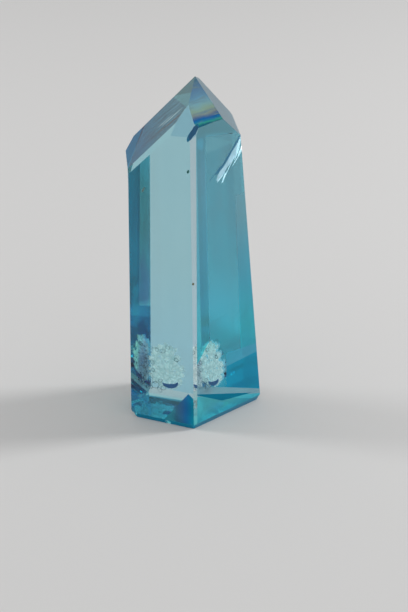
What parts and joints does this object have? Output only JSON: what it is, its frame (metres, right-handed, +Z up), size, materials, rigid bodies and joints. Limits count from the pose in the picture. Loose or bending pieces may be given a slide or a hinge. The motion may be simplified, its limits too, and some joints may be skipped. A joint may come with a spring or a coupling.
{
  "type": "aqua aura quartz crystal",
  "caption": "Upright quartz point with a blue-teal metal skin, sawn flat and bevelled at its foot, with an off-centre faceted tip.",
  "frame": {"origin": "middle of the bounding box on the floor, under the flat foot", "axes": "+Z up from the foot to the tip, -Y towards the narrow bevelled edge between the two widest faces, +X to that edge's right seen from the front"},
  "size_m": [0.0268, 0.0224, 0.0702],
  "materials": {
    "aura_quartz": "clear with a thin iridescent metal skin"
  },
  "bodies": {
    "root": {"crystal": "aura_quartz"}
  },
  "joints": []
}
